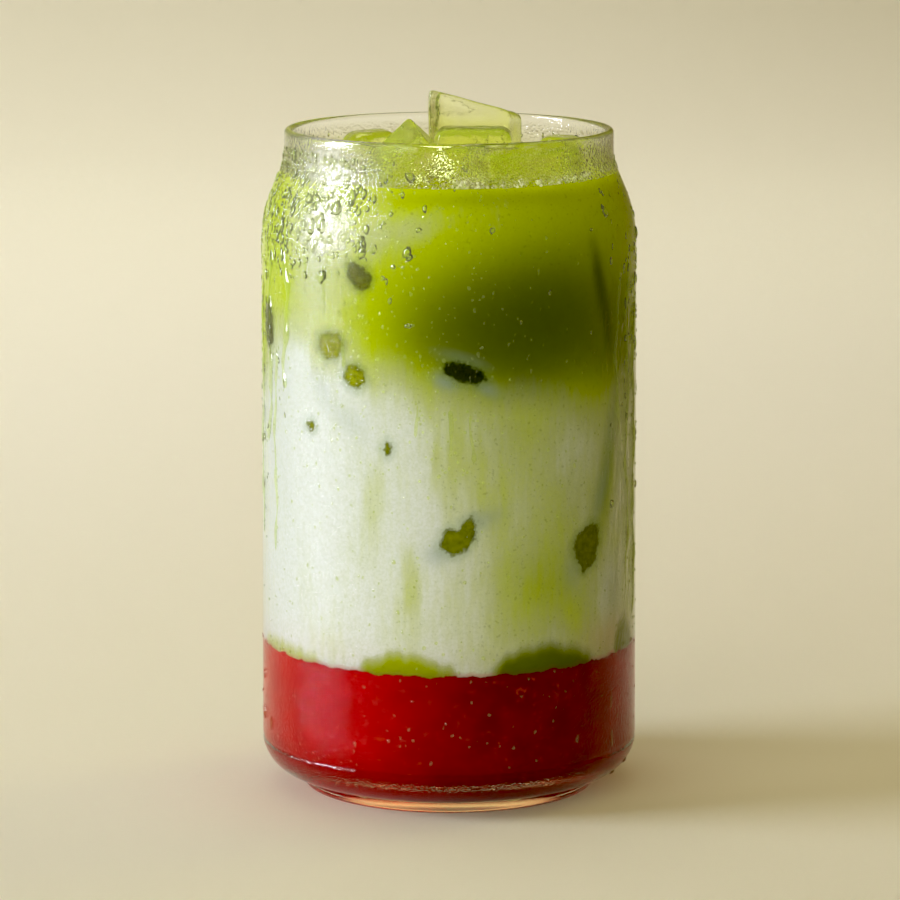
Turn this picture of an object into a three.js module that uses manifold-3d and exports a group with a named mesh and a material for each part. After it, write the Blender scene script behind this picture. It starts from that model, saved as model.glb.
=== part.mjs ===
// An iced matcha latte in a can-shaped glass tumbler: strawberry puree, milk and matcha in layers,
// with pools of matcha that sank onto the puree, and ice cubes that stand out of the drink.
// Millimetres, +Z up. The origin is the centre of the foot, on the surface the glass stands on.
// Angles round the glass are measured from the front, which is the -Y side, towards +X.
import * as THREE from "three";
import { RoundedBoxGeometry } from "three/addons/geometries/RoundedBoxGeometry.js";
import { mergeVertices } from "three/addons/utils/BufferGeometryUtils.js";
import Module from "manifold-3d";

const wasm = await Module();
wasm.setup();

// Glass
const HEIGHT = 134.3;
const BODY_RADIUS_LOW = 38.2;
const BODY_RADIUS_HIGH = 37.8;
const NECK_RADIUS = 33.1;
const FOOT_RADIUS = 29.8;
const FOOT_HEIGHT = 2.4;
const FOOT_EDGE = 0.7;
const FOOT_NECK = 0.4;
const PUNT_RADIUS = 23;
const PUNT_SLOPE = 2;
const PUNT_DEPTH = 1.2;
const HEEL_LEAN = 1.2;
const HEEL_RISE = 0.8;
const CREASE_HEIGHT = 9.3;
const SHOULDER_LOW = 108.5;
const SHOULDER_HIGH = 129.7;
const SHOULDER_SKEW = 1.7;
const BODY_WALL = 2.0;
const LIP_WALL = 1.7;
const INNER_BOTTOM = 7.0;
const INNER_CORNER = 8.0;
const TURN_STEPS = 56;
const SHOULDER_STEPS = 7;
const CURVE_STEPS = 4;

// Drink
const GAP = 0.3;
const DRINK_LEVEL = 124.8;
const PUREE_TOP = 30.4;
const PUREE_TILT = 0.9;
const MILK_TOP = 86;
const MILK_TILT = 6;
const MILK_WAVE = 1.6;
const SURFACE_WAVE = 0.25;
const LAYER_RINGS = 3;
const LAYER_RADIUS = 45;

const COLOURS = { glass: 0xf2f5ee, puree: 0x9c0714, milk: 0xeef0e8, matcha: 0x8c9a12, ice: 0xdfe8c8 };

// Pools of matcha between the puree and the milk: angle round the glass, height, and the half sizes
// along the wall, into the drink and upwards.
const POOLS = [
  { angle: -14, height: 31.5, along: 10, inward: 7, up: 3.1 },
  { angle: 30, height: 32.8, along: 11, inward: 7, up: 3.6 },
  { angle: 70, height: 34, along: 5.5, inward: 5, up: 3.2 },
  { angle: -64, height: 32.6, along: 10, inward: 5, up: 2.2 },
  { angle: 138, height: 32.6, along: 10, inward: 7, up: 3.2 },
  { angle: -142, height: 32.4, along: 8, inward: 6, up: 2.6 },
];

// Ice cubes that stand out of the drink: name, centre, sizes, turns about X, Y and Z in degrees,
// edge radius, and the slopes of the top face along the cube's own X and Y.
const ICE = [
  ["ice_tall", [5.3, 13, 125], [17, 12.5, 26.5], [0, 0, -14], 1.2, [-0.24, -0.16]],
  ["ice_corner", [-9.3, -14.9, 126.8], [17, 10.5, 10.5], [37.8, -43.2, -2.1], 0.9, [0, 0]],
  ["ice_flat", [4.9, -1, 125.2], [15.6, 9, 18.6], [0, 0, -3], 2.6, [0, 0]],
  ["ice_front", [14.6, -17.2, 122.7], [21.5, 9.5, 19], [0, 0, 30], 1.6, [0.03, 0]],
  ["ice_left", [-16, 12, 125.2], [11, 11, 14.4], [0, 0, 14], 3.2, [0.05, 0]],
  ["ice_right", [22.8, 6.6, 124.9], [9.5, 10.5, 14], [0, 0, -12], 3, [-0.05, 0]],
];
const ICE_ROUND_STEPS = 2;
const POOL_STEPS = 16;

const rad = THREE.MathUtils.degToRad;

// Solids in and out of manifold-3d
function toSolid(geometry, matrix = new THREE.Matrix4()) {
  const bare = new THREE.BufferGeometry();
  const whole = geometry.index ? geometry.toNonIndexed() : geometry;
  bare.setAttribute("position", whole.getAttribute("position").clone());
  bare.applyMatrix4(matrix);
  const merged = mergeVertices(bare, 1e-4);
  return new wasm.Manifold(
    new wasm.Mesh({
      numProp: 3,
      vertProperties: new Float32Array(merged.attributes.position.array),
      triVerts: new Uint32Array(merged.index.array),
    }),
  );
}

function fromSolid(solid) {
  const { vertProperties, triVerts } = solid.getMesh();
  const geometry = new THREE.BufferGeometry();
  geometry.setAttribute("position", new THREE.BufferAttribute(vertProperties, 3));
  geometry.setIndex(new THREE.BufferAttribute(triVerts, 1));
  geometry.computeVertexNormals();
  return geometry;
}

// The glass in section, as [radius, height]
function shoulderRadius(height) {
  const along = THREE.MathUtils.clamp((height - SHOULDER_LOW) / (SHOULDER_HIGH - SHOULDER_LOW), 0, 1);
  const eased = THREE.MathUtils.smoothstep(along ** SHOULDER_SKEW, 0, 1);
  return THREE.MathUtils.lerp(BODY_RADIUS_HIGH, NECK_RADIUS, eased);
}

function shoulderPoints(inset) {
  const points = [];
  for (let i = 0; i <= SHOULDER_STEPS; i++) {
    const share = i / SHOULDER_STEPS;
    const height = THREE.MathUtils.lerp(SHOULDER_LOW, SHOULDER_HIGH, share);
    points.push([shoulderRadius(height) - inset(share), height]);
  }
  return points;
}

function curvePoints(from, bend, to) {
  const curve = new THREE.QuadraticBezierCurve(
    new THREE.Vector2(...from),
    new THREE.Vector2(...bend),
    new THREE.Vector2(...to),
  );
  return curve.getPoints(CURVE_STEPS).map((p) => [p.x, p.y]);
}

function outerSection() {
  const foot = [
    [FOOT_RADIUS - FOOT_EDGE, 0],
    [FOOT_RADIUS, FOOT_EDGE],
    [FOOT_RADIUS, FOOT_HEIGHT - FOOT_NECK],
  ];
  const heel = curvePoints(
    [FOOT_RADIUS + FOOT_NECK, FOOT_HEIGHT],
    [BODY_RADIUS_LOW - HEEL_LEAN, FOOT_HEIGHT + HEEL_RISE],
    [BODY_RADIUS_LOW, CREASE_HEIGHT],
  );
  return [...foot, ...heel, ...shoulderPoints(() => 0)];
}

function lipSection() {
  const radius = LIP_WALL / 2;
  const points = [];
  for (let i = 0; i <= CURVE_STEPS; i++) {
    const turn = (Math.PI * i) / CURVE_STEPS;
    points.push([
      NECK_RADIUS - radius + radius * Math.cos(turn),
      HEIGHT - radius + radius * Math.sin(turn),
    ]);
  }
  return points;
}

// The inside wall from the axis up to a height, moved into the hollow by a margin
function innerSection(margin, top) {
  const floor = INNER_BOTTOM + margin;
  const wall = BODY_WALL + margin;
  const corner = curvePoints(
    [BODY_RADIUS_LOW - wall - INNER_CORNER, floor],
    [BODY_RADIUS_LOW - wall, floor],
    [BODY_RADIUS_LOW - wall, floor + INNER_CORNER],
  );
  const side = shoulderPoints((share) => THREE.MathUtils.lerp(wall, LIP_WALL + margin, share));
  return [[0, floor], ...corner, ...side, [NECK_RADIUS - LIP_WALL - margin, top]];
}

function turned(section) {
  const points = section.map(([radius, height]) => new THREE.Vector2(radius, height));
  return new THREE.LatheGeometry(points, TURN_STEPS).rotateX(Math.PI / 2);
}

function glassGeometry() {
  const inside = innerSection(0, HEIGHT).slice(0, -1);
  return turned([
    [0, PUNT_DEPTH],
    [PUNT_RADIUS - PUNT_SLOPE, PUNT_DEPTH],
    [PUNT_RADIUS, 0],
    ...outerSection(),
    ...lipSection(),
    ...inside.reverse(),
  ]);
}

function hollowSolid() {
  return toSolid(turned([...innerSection(GAP, HEIGHT), [0, HEIGHT]]));
}

// A disc wider than the glass between two uneven surfaces, each a height from a radius and an angle
function layerSolid(low, high) {
  const positions = [];
  const faces = [];
  const start = [low, high].map((surface) => {
    const first = positions.length / 3;
    positions.push(0, 0, surface(0, 0));
    for (let ring = 1; ring <= LAYER_RINGS; ring++) {
      const radius = (LAYER_RADIUS * ring) / LAYER_RINGS;
      for (let i = 0; i < TURN_STEPS; i++) {
        const angle = (2 * Math.PI * i) / TURN_STEPS;
        positions.push(radius * Math.sin(angle), -radius * Math.cos(angle), surface(radius, angle));
      }
    }
    return first;
  });
  const at = (side, ring, i) =>
    ring === 0 ? start[side] : start[side] + 1 + (ring - 1) * TURN_STEPS + (i % TURN_STEPS);
  const add = (flip, a, b, c) => faces.push(...(flip ? [a, c, b] : [a, b, c]));
  for (let i = 0; i < TURN_STEPS; i++) {
    for (const side of [0, 1]) {
      add(side === 0, at(side, 0, i), at(side, 1, i), at(side, 1, i + 1));
      for (let ring = 1; ring < LAYER_RINGS; ring++) {
        add(side === 0, at(side, ring, i), at(side, ring + 1, i), at(side, ring + 1, i + 1));
        add(side === 0, at(side, ring, i), at(side, ring + 1, i + 1), at(side, ring, i + 1));
      }
    }
    add(false, at(0, LAYER_RINGS, i), at(0, LAYER_RINGS, i + 1), at(1, LAYER_RINGS, i + 1));
    add(false, at(0, LAYER_RINGS, i), at(1, LAYER_RINGS, i + 1), at(1, LAYER_RINGS, i));
  }
  const geometry = new THREE.BufferGeometry();
  geometry.setAttribute("position", new THREE.Float32BufferAttribute(positions, 3));
  geometry.setIndex(faces);
  return toSolid(geometry);
}

const pureeTop = (radius, angle) =>
  PUREE_TOP - PUREE_TILT * (radius / BODY_RADIUS_LOW) * Math.cos(angle);
const milkTop = (radius, angle) =>
  MILK_TOP -
  (radius / BODY_RADIUS_LOW) * (MILK_TILT * Math.sin(angle) + MILK_WAVE * Math.sin(3 * angle + 0.6));
const drinkTop = (radius, angle) =>
  DRINK_LEVEL + SURFACE_WAVE * Math.sin(radius / 5) * Math.cos(3 * angle + 1);

function poolSolid({ angle, height, along, inward, up }, grow) {
  const wallRadius = BODY_RADIUS_LOW - BODY_WALL;
  const matrix = new THREE.Matrix4()
    .makeRotationZ(rad(angle))
    .multiply(new THREE.Matrix4().makeTranslation(0, -wallRadius, height))
    .multiply(new THREE.Matrix4().makeScale(along + grow, inward + grow, up + grow));
  return toSolid(new THREE.SphereGeometry(1, POOL_STEPS, POOL_STEPS / 2), matrix);
}

// A cube with rounded edges and a sloping top
function iceGeometry(size, round, slope, grow) {
  const grown = size.map((side) => side + 2 * grow);
  const geometry = new RoundedBoxGeometry(...grown, ICE_ROUND_STEPS, round + grow);
  const position = geometry.getAttribute("position");
  for (let i = 0; i < position.count; i++) {
    const rise = slope[0] * position.getX(i) + slope[1] * position.getY(i);
    const share = position.getZ(i) / grown[2] + 0.5;
    position.setZ(i, position.getZ(i) + rise * share);
  }
  return geometry;
}

function material(colour, roughness, extra = {}) {
  return new THREE.MeshStandardMaterial({ color: colour, roughness, metalness: 0, ...extra });
}

const drink = new THREE.Group();

function addNode(name, geometry, look) {
  const mesh = new THREE.Mesh(geometry, look);
  mesh.name = name;
  drink.add(mesh);
  return mesh;
}

addNode("glass", glassGeometry(), material(COLOURS.glass, 0.05, { transparent: true, opacity: 0.35 }));

// The cubes
const iceLook = material(COLOURS.ice, 0.08, { transparent: true, opacity: 0.5 });
const iceCuts = ICE.map(([name, centre, size, turn, round, slope]) => {
  const cube = addNode(name, iceGeometry(size, round, slope, 0), iceLook);
  cube.position.set(...centre);
  cube.rotation.set(...turn.map(rad), "ZYX");
  cube.updateMatrixWorld(true);
  return toSolid(iceGeometry(size, round, slope, GAP), cube.matrixWorld);
});

// The layers
const hollow = hollowSolid();
const above = (surface) => (radius, angle) => surface(radius, angle) + GAP;
const fixed = (height) => () => height;

const poolLook = material(COLOURS.matcha, 0.3);
let pureeSolid = hollow.intersect(layerSolid(fixed(-5), pureeTop));
let milkSolid = hollow.intersect(layerSolid(above(pureeTop), milkTop));
POOLS.forEach((pool, i) => {
  addNode("matcha_pool_" + (i + 1), fromSolid(hollow.intersect(poolSolid(pool, 0))), poolLook);
  const cut = poolSolid(pool, GAP);
  pureeSolid = pureeSolid.subtract(cut);
  milkSolid = milkSolid.subtract(cut);
});
let matchaSolid = hollow.intersect(layerSolid(above(milkTop), drinkTop));
for (const cut of iceCuts) {
  matchaSolid = matchaSolid.subtract(cut);
}

addNode("strawberry_puree", fromSolid(pureeSolid), material(COLOURS.puree, 0.25));
addNode("milk", fromSolid(milkSolid), material(COLOURS.milk, 0.3));
addNode("matcha", fromSolid(matchaSolid), material(COLOURS.matcha, 0.25));

export default drink;
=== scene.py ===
"""Looks for an iced matcha latte in a can-shaped glass: wet glass, puree, milk fading into matcha, and ice.

Lengths are in millimetres, in the frame's axes, and meshes are scaled to metres when they are made.
Angles round the glass are in degrees from the front, the -Y side, positive towards +X.
"""

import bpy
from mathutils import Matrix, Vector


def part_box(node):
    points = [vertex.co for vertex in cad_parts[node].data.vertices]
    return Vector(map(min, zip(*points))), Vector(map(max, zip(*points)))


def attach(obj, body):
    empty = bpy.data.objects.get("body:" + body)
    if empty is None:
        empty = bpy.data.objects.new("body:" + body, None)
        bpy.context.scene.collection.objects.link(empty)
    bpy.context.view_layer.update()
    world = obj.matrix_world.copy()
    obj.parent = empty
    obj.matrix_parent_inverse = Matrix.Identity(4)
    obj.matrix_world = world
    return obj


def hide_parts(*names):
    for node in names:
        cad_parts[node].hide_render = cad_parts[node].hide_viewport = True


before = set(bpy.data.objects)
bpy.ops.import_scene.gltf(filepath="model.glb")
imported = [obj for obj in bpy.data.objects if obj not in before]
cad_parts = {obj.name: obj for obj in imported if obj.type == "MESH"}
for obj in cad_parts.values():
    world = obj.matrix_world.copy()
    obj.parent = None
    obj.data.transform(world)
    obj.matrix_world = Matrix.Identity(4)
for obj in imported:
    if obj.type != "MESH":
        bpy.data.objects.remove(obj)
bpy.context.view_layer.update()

import math

import bmesh
import bpy
import numpy as np
from mathutils import Euler, Matrix, Vector

MM = 0.001
SEED = 7

# Glass, as in the CAD source, but for the hollow under the foot (PUNT), which is a little wider and deeper
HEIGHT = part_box("glass")[1][2] / MM
BODY_LOW, BODY_HIGH, NECK = 38.2, 37.8, 33.1
FOOT_RADIUS, FOOT_HEIGHT, FOOT_EDGE = 29.8, 2.4, 0.7
PUNT_RADIUS, PUNT_DEPTH = 25.0, 2.6
CREASE = 9.3
GROOVE_DEPTH, GROOVE_RISE, GROOVE_WIDTH = 0.13, 0.75, 0.42
SHOULDER_LOW, SHOULDER_HIGH, SHOULDER_SKEW = 108.5, 129.7, 1.7
BODY_WALL, LIP_WALL = 2.0, 1.7
INNER_BOTTOM, INNER_CORNER = 7.0, 8.0

# Drink, as in the CAD source
DRINK_LEVEL = 124.8
PUREE_TOP, PUREE_TILT = 30.4, 0.9
MILK_TOP, MILK_TILT, MILK_WAVE = 86.0, 6.0, 1.6
INTO_WALL = 0.15  # how far the drink reaches into the glass, so that no air gap shows

# Colours, linear
MILK = (0.88, 0.915, 0.92)
PALE_GREEN = (0.65, 0.71, 0.32)
MATCHA = (0.64, 0.76, 0.005)
# The next colour is thick matcha, and also painted shade on the drink
DARK_MATCHA_AND_SHADE = (0.085, 0.115, 0.002)
COOL_MILK = (0.34, 0.43, 0.44)
ICE_DARK = (0.010, 0.016, 0.004)
ICE_OLIVE = (0.385, 0.425, 0.012)
PUREE = (0.185, 0.0008, 0.004)
# The next colour is the paler puree, used for random blotches and for painted light on the lit side
PUREE_PALE_AND_LIT = (0.62, 0.003, 0.009)
PUREE_PULP = (0.80, 0.10, 0.08)
ICE_RIM = (0.02, 0.045, 0.006)
MILK_GRAIN = (0.56, 0.63, 0.42)
POWDER = (0.20, 0.27, 0.02)
MILK_SHADE, MATCHA_SHADE = (0.40, 0.50, 0.36), (0.17, 0.25, 0.03)  # round the ice under the surface
PINK_MILK = (0.80, 0.26, 0.24)
SEEDS = (0.66, 0.07, 0.02)
GLASS_TINT = (0.985, 0.99, 0.975)
MATCHA_FILM = (0.97, 0.985, 0.62)  # what clings to the inside of the glass over the drink
DEW_GAPS = (0.86, 0.88, 0.79)  # the glass between beads of dew
ICE_LOW, ICE_HIGH = (0.90, 0.95, 0.36), (0.96, 0.975, 0.76)
WATER = (0.90, 0.96, 0.60)
FOAM_GREEN, FOAM_PALE = (0.93, 0.96, 0.55), (0.98, 0.99, 0.84)
STAGE = (0.88, 0.86, 0.69)
# Painted reflections of the stage as glass and water see it: darker and warmer on the right when mirrored,
# green towards the camera when seen through them
STAGE_PAINTED_REFLECTION_SHADE = (0.30, 0.21, 0.07)
STAGE_PAINTED_REFRACTION_GREEN = (0.42, 0.62, 0.04)

# Light colours
COOL_LIGHT, WARM_LIGHT = (0.93, 1.0, 1.16), (1.0, 0.97, 0.83)
TOP_LIGHT, BACK_LIGHT = (1.0, 0.66, 0.24), (1.0, 1.0, 1.02)
RIM_LIGHT, GLOW_LIGHT, ROOM_LIGHT = (1.0, 0.88, 0.42), (1.0, 0.76, 0.36), (1.0, 0.78, 0.35)

# Refraction and water
GLASS_IOR, WATER_IOR, ICE_IOR = 1.5, 1.33, 1.31
DROP_BULGE = 2.4  # a drop's section is 1 - out ** DROP_BULGE
DROP_UNDER = 0.15  # how far the point under a drop reaches down, as a share of its height
SUNK = 0.02  # how far drops and runs are sunk into the glass

rng = np.random.default_rng(SEED)


# Meshes
def make_object(name, points, faces, material):
    """A smooth mesh object from points in millimetres."""
    mesh = bpy.data.meshes.new(name)
    mesh.from_pydata((np.asarray(points) * MM).tolist(), [], np.asarray(faces).tolist())
    mesh.materials.append(material)
    mesh.shade_smooth()
    obj = bpy.data.objects.new(name, mesh)
    bpy.context.collection.objects.link(obj)
    return obj


def close_up(obj, sharp=180):
    """Merges doubled points, turns the faces outwards and keeps edges over an angle in degrees sharp."""
    bm = bmesh.new()
    bm.from_mesh(obj.data)
    bmesh.ops.remove_doubles(bm, verts=bm.verts, dist=1e-7)
    bmesh.ops.recalc_face_normals(bm, faces=bm.faces)
    bm.to_mesh(obj.data)
    bm.free()
    obj.data.shade_smooth()
    obj.data.set_sharp_from_angle(angle=math.radians(sharp))


def quads_round(rows, ring):
    """The faces between rows of points, where each row is a ring."""
    row, turn = np.meshgrid(np.arange(rows - 1) * ring, np.arange(ring), indexing="ij")
    after = (turn + 1) % ring
    quads = [row + turn, row + after, row + ring + after, row + ring + turn]
    return np.stack(quads, axis=-1).reshape(-1, 4)


def faces_of_copies(faces, points, count):
    """The triangles of many copies of a mesh, from its own triangles and its number of points."""
    return (faces[None] + (np.arange(count) * points)[:, None, None]).reshape(-1, 3)


def taken_from(bm):
    """The points and faces of a bmesh, which is then freed."""
    points = np.array([v.co[:] for v in bm.verts])
    faces = np.array([[v.index for v in f.verts] for f in bm.faces])
    bm.free()
    return points, faces


def turned(name, radius, height, material, sharp):
    """A closed surface of sections round +Z. radius and height are arrays of section point by angle."""
    rows, turns = radius.shape
    angle = np.linspace(0, 2 * np.pi, turns, endpoint=False)
    points = np.stack([radius * np.sin(angle), -radius * np.cos(angle), height], axis=-1)
    obj = make_object(name, points.reshape(-1, 3), quads_round(rows, turns), material)
    close_up(obj, sharp)
    return obj


def curve(start, bend, end, steps):
    """Points of a quadratic curve."""
    t = np.linspace(0, 1, steps + 1)[:, None]
    return (1 - t) ** 2 * np.array(start) + 2 * t * (1 - t) * np.array(bend) + t**2 * np.array(end)


def arc(centre, size, start, end, steps):
    """Points of an arc, with angles in degrees from +radius towards +height."""
    t = np.radians(np.linspace(start, end, steps + 1))
    return np.stack([centre[0] + size * np.cos(t), centre[1] + size * np.sin(t)], axis=-1)


def smoothstep(low, high, x):
    t = np.clip((x - low) / (high - low), 0, 1)
    return t * t * (3 - 2 * t)


def hump(x, middle, width):
    """A smooth hump, 1 at its middle."""
    return np.exp(-(((x - middle) / width) ** 2))


# The glass in section
def outer_radius(z):
    along = np.clip((z - SHOULDER_LOW) / (SHOULDER_HIGH - SHOULDER_LOW), 0, 1)
    side = BODY_LOW + (BODY_HIGH - BODY_LOW) * (z - CREASE) / (SHOULDER_LOW - CREASE)
    share = smoothstep(0, 1, along**SHOULDER_SKEW)
    return np.minimum(side, BODY_LOW) * (1 - share) + NECK * share


def inner_radius(z):
    """The inside of the wall, with the rounded corner at the bottom."""
    along = np.clip((z - SHOULDER_LOW) / (SHOULDER_HIGH - SHOULDER_LOW), 0, 1)
    wall = outer_radius(np.maximum(z, CREASE)) - (BODY_WALL + (LIP_WALL - BODY_WALL) * along)
    t = 1 - np.sqrt(np.clip((z - INNER_BOTTOM) / INNER_CORNER, 0, 1))
    return wall - INNER_CORNER * t * t


def crease_groove(z):
    """A faint groove just over the crease, so that the crease stands out as a fine line."""
    return GROOVE_DEPTH * hump(z, CREASE + GROOVE_RISE, GROOVE_WIDTH)


def outer_section():
    foot = arc((FOOT_RADIUS - FOOT_EDGE, FOOT_EDGE), FOOT_EDGE, -90, 0, 6)
    heel_bend = (BODY_LOW - 1.2, FOOT_HEIGHT + 0.8)
    heel = curve((FOOT_RADIUS + 0.4, FOOT_HEIGHT), heel_bend, (BODY_LOW, CREASE), 22)
    groove = CREASE + np.linspace(0.15, 1.8, 12)
    side = np.concatenate([groove, np.linspace(CREASE + 2.4, HEIGHT - LIP_WALL / 2, 90)])
    return np.vstack([foot, heel, np.stack([outer_radius(side) - crease_groove(side), side], axis=-1)])


def glass_piece(material, turns=256):
    lip = arc((NECK - LIP_WALL / 2, HEIGHT - LIP_WALL / 2), LIP_WALL / 2, 15, 165, 10)
    z = INNER_BOTTOM + (HEIGHT - LIP_WALL / 2 - INNER_BOTTOM) * np.linspace(1, 0, 110) ** 1.6
    inside = np.stack([inner_radius(z), z], axis=-1)
    punt = curve((PUNT_RADIUS - 3, PUNT_DEPTH), (PUNT_RADIUS - 1, PUNT_DEPTH), (PUNT_RADIUS, 0), 6)
    section = np.vstack([[[0, PUNT_DEPTH]], punt, outer_section(), lip, inside, [[0, INNER_BOTTOM]]])
    radius = np.repeat(section[:, :1], turns, axis=1)
    height = np.repeat(section[:, 1:], turns, axis=1)
    return turned("glass_tumbler", radius, height, material, 50)


# The drink's layers: each surface is a height from a radius and an angle in degrees
def puree_top(radius, angle):
    a = np.radians(angle)
    ripple = 0.16 * np.sin(23 * a + 1) + 0.13 * np.sin(41 * a + 2.2) + 0.1 * np.sin(67 * a)
    return PUREE_TOP + (radius / BODY_LOW) * (ripple - PUREE_TILT * np.cos(a))


def milk_top(radius, angle):
    a = np.radians(angle)
    return MILK_TOP - (radius / BODY_LOW) * (MILK_TILT * np.sin(a) + MILK_WAVE * np.sin(3 * a + 0.6))


def drink_top(radius, angle):
    a = np.radians(angle)
    wall = inner_radius(np.full_like(radius, DRINK_LEVEL))
    meniscus = 0.7 * np.exp(-np.clip(wall - radius, 0, None) / 0.9)
    return DRINK_LEVEL + 0.25 * np.sin(radius / 5) * np.cos(3 * a + 1) + meniscus


def layer(name, low, high, material, rows, turns=448, rings=24):
    """A body of drink between two surfaces, out to just inside the wall of the glass."""
    angle = np.linspace(0, 360, turns, endpoint=False)[None, :]
    share = np.linspace(0, 1, rings)[:, None]

    def at_wall(surface):
        z = surface(np.full_like(angle, BODY_LOW - BODY_WALL), angle)
        return inner_radius(z) + INTO_WALL

    bottom = share * at_wall(low)
    top = share[::-1] * at_wall(high)
    low_edge, high_edge = low(at_wall(low), angle), high(at_wall(high), angle)
    up = np.linspace(0, 1, rows + 2)[1:-1, None]
    wall_height = low_edge + (high_edge - low_edge) * up
    wall = inner_radius(wall_height) + INTO_WALL
    radius = np.vstack([bottom, wall, top])
    height = np.vstack([low(bottom, angle + 0 * bottom), wall_height, high(top, angle + 0 * top)])
    return turned(name, radius, height, material, 45)


# Materials
def new_material(name):
    material = bpy.data.materials.new(name)
    material.use_nodes = True
    tree = material.node_tree
    return material, tree, tree.nodes["Principled BSDF"]


def set_inputs(node, values):
    """Sets a node's inputs, or links them where the value is an output of another node."""
    for key, value in values.items():
        if isinstance(value, bpy.types.NodeSocket):
            node.id_data.links.new(value, node.inputs[key])
        else:
            node.inputs[key].default_value = value


def add_node(tree, kind, inputs=None, **settings):
    node = tree.nodes.new("ShaderNode" + kind)
    for key, value in settings.items():
        setattr(node, key, value)
    set_inputs(node, inputs or {})
    return node


def maths(tree, operation, *values, clamp=False):
    node = add_node(tree, "Math", dict(enumerate(values)), operation=operation, use_clamp=clamp)
    return node.outputs[0]


def times(tree, first, second, clamp=False):
    return maths(tree, "MULTIPLY", first, second, clamp=clamp)


def blend(tree, factor, first, second):
    """The mix of two colours, each a tuple or the output of a node."""
    first, second = [(*c, 1) if isinstance(c, tuple) else c for c in (first, second)]
    return add_node(tree, "Mix", {0: factor, 6: first, 7: second}, data_type="RGBA").outputs[2]


def object_place(tree, upright=1.0):
    """The place in the object. Under 1, upright draws out what is made from it."""
    place = add_node(tree, "TexCoord").outputs["Object"]
    return add_node(tree, "Mapping", {"Vector": place, "Scale": (1, 1, upright)}).outputs[0]


def object_axes(tree):
    return add_node(tree, "SeparateXYZ", {"Vector": object_place(tree)}).outputs


def remap(tree, value, low, high, to_low=0.0, to_high=1.0):
    inputs = {"Value": value, "From Min": low, "From Max": high, "To Min": to_low, "To Max": to_high}
    return add_node(tree, "MapRange", inputs, interpolation_type="SMOOTHSTEP").outputs[0]


def noise(tree, scale, detail=2.0, upright=1.0):
    """Noise by place in the object, with scale in features a metre."""
    inputs = {"Vector": object_place(tree, upright), "Scale": scale, "Detail": detail}
    return add_node(tree, "TexNoise", inputs).outputs[0]


def swirl(tree, scale, detail, upright, middle=0.5):
    """Noise on both sides of 0."""
    return maths(tree, "SUBTRACT", noise(tree, scale, detail, upright), middle)


def bump(tree, height, strength, distance):
    inputs = {"Height": height, "Strength": strength, "Distance": distance}
    return add_node(tree, "Bump", inputs).outputs[0]


def attribute(tree, name):
    return add_node(tree, "Attribute", attribute_name=name).outputs["Fac"]


def clear_values(colour, ior, roughness, mirror):
    """Shader values of something clear, whose reflections are dimmed to a share."""
    tint = (mirror, mirror, mirror, 1)
    return {"Base Color": colour, "IOR": ior, "Roughness": roughness, "Specular Tint": tint}


def cloudy_values(colour, roughness, radius, scale):
    """Shader values of a cloudy liquid. The glass round it makes the reflections."""
    return {
        "Base Color": colour,
        "Roughness": roughness,
        "Specular IOR Level": 0.0,
        "Subsurface Weight": 1.0,
        "Subsurface Radius": radius,
        "Subsurface Scale": scale,
    }


def dew_domes(tree, scale, upright):
    """The height of small round beads of water, from 0 to 0.5."""
    inputs = {"Vector": object_place(tree, upright), "Scale": scale}
    away = add_node(tree, "TexVoronoi", inputs, feature="F1").outputs["Distance"]
    return maths(tree, "SUBTRACT", 0.5, times(tree, times(tree, away, away), 1.3), clamp=True)


def wet_glass():
    material, tree, shader = new_material("wet_glass")
    patchy = remap(tree, noise(tree, 260, 4), 0.3, 0.7, 0.7, 1.0)
    film = times(tree, attribute(tree, "film"), patchy)
    tint = blend(tree, film, GLASS_TINT, MATCHA_FILM)
    grainy = remap(tree, noise(tree, 900, 3), 0.25, 0.75, 0.6, 1.2)
    # painted highlight: white mist on the glass where the key light is mirrored on the shoulder and neck
    mist_and_highlight = times(tree, attribute(tree, "mist_and_highlight"), grainy)
    small = dew_domes(tree, 1900.0, 1.0)
    large = dew_domes(tree, 900.0, 0.6)
    dew = attribute(tree, "dew")
    small_gaps = remap(tree, small, 0.0, 0.4, 0.6, 0.0)
    large_gaps = remap(tree, large, 0.0, 0.4, 0.4, 0.0)
    gaps = times(tree, maths(tree, "ADD", small_gaps, large_gaps), dew, clamp=True)
    fine = times(tree, small, dew)
    coarse = times(tree, large, attribute(tree, "wet"))
    ridges = times(tree, noise(tree, 640, 2, 0.3), attribute(tree, "ridges"))
    height = maths(tree, "ADD", fine, times(tree, coarse, 1.6))
    height = maths(tree, "MULTIPLY_ADD", ridges, 4.6, height)
    colour = blend(tree, gaps, tint, DEW_GAPS)
    set_inputs(shader, clear_values(colour, GLASS_IOR, 0.02, 0.3) | {
        "Transmission Weight": maths(tree, "SUBTRACT", 1.0, mist_and_highlight, clamp=True),
        "Normal": bump(tree, height, 1.0, 0.00018),
    })
    return material


def matcha_level(tree):
    """The share of matcha, made uneven by wisps, drips and broad clouds, from 0 to 1."""
    share = attribute(tree, "matcha")
    wisps = times(tree, swirl(tree, 120, 4, 0.4), 0.9)
    streaky = maths(tree, "MULTIPLY_ADD", swirl(tree, 520, 3, 0.45), 0.3, wisps)
    strength = remap(tree, share, 0.0, 0.12, 0.3, 0.5)
    varied = times(tree, streaky, strength)
    varied = maths(tree, "MULTIPLY_ADD", swirl(tree, 900, 3, 0.14), 0.3, varied)
    varied = maths(tree, "MULTIPLY_ADD", swirl(tree, 75, 4, 0.5, middle=0.47), 0.6, varied)
    return maths(tree, "ADD", share, varied, clamp=True)


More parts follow.
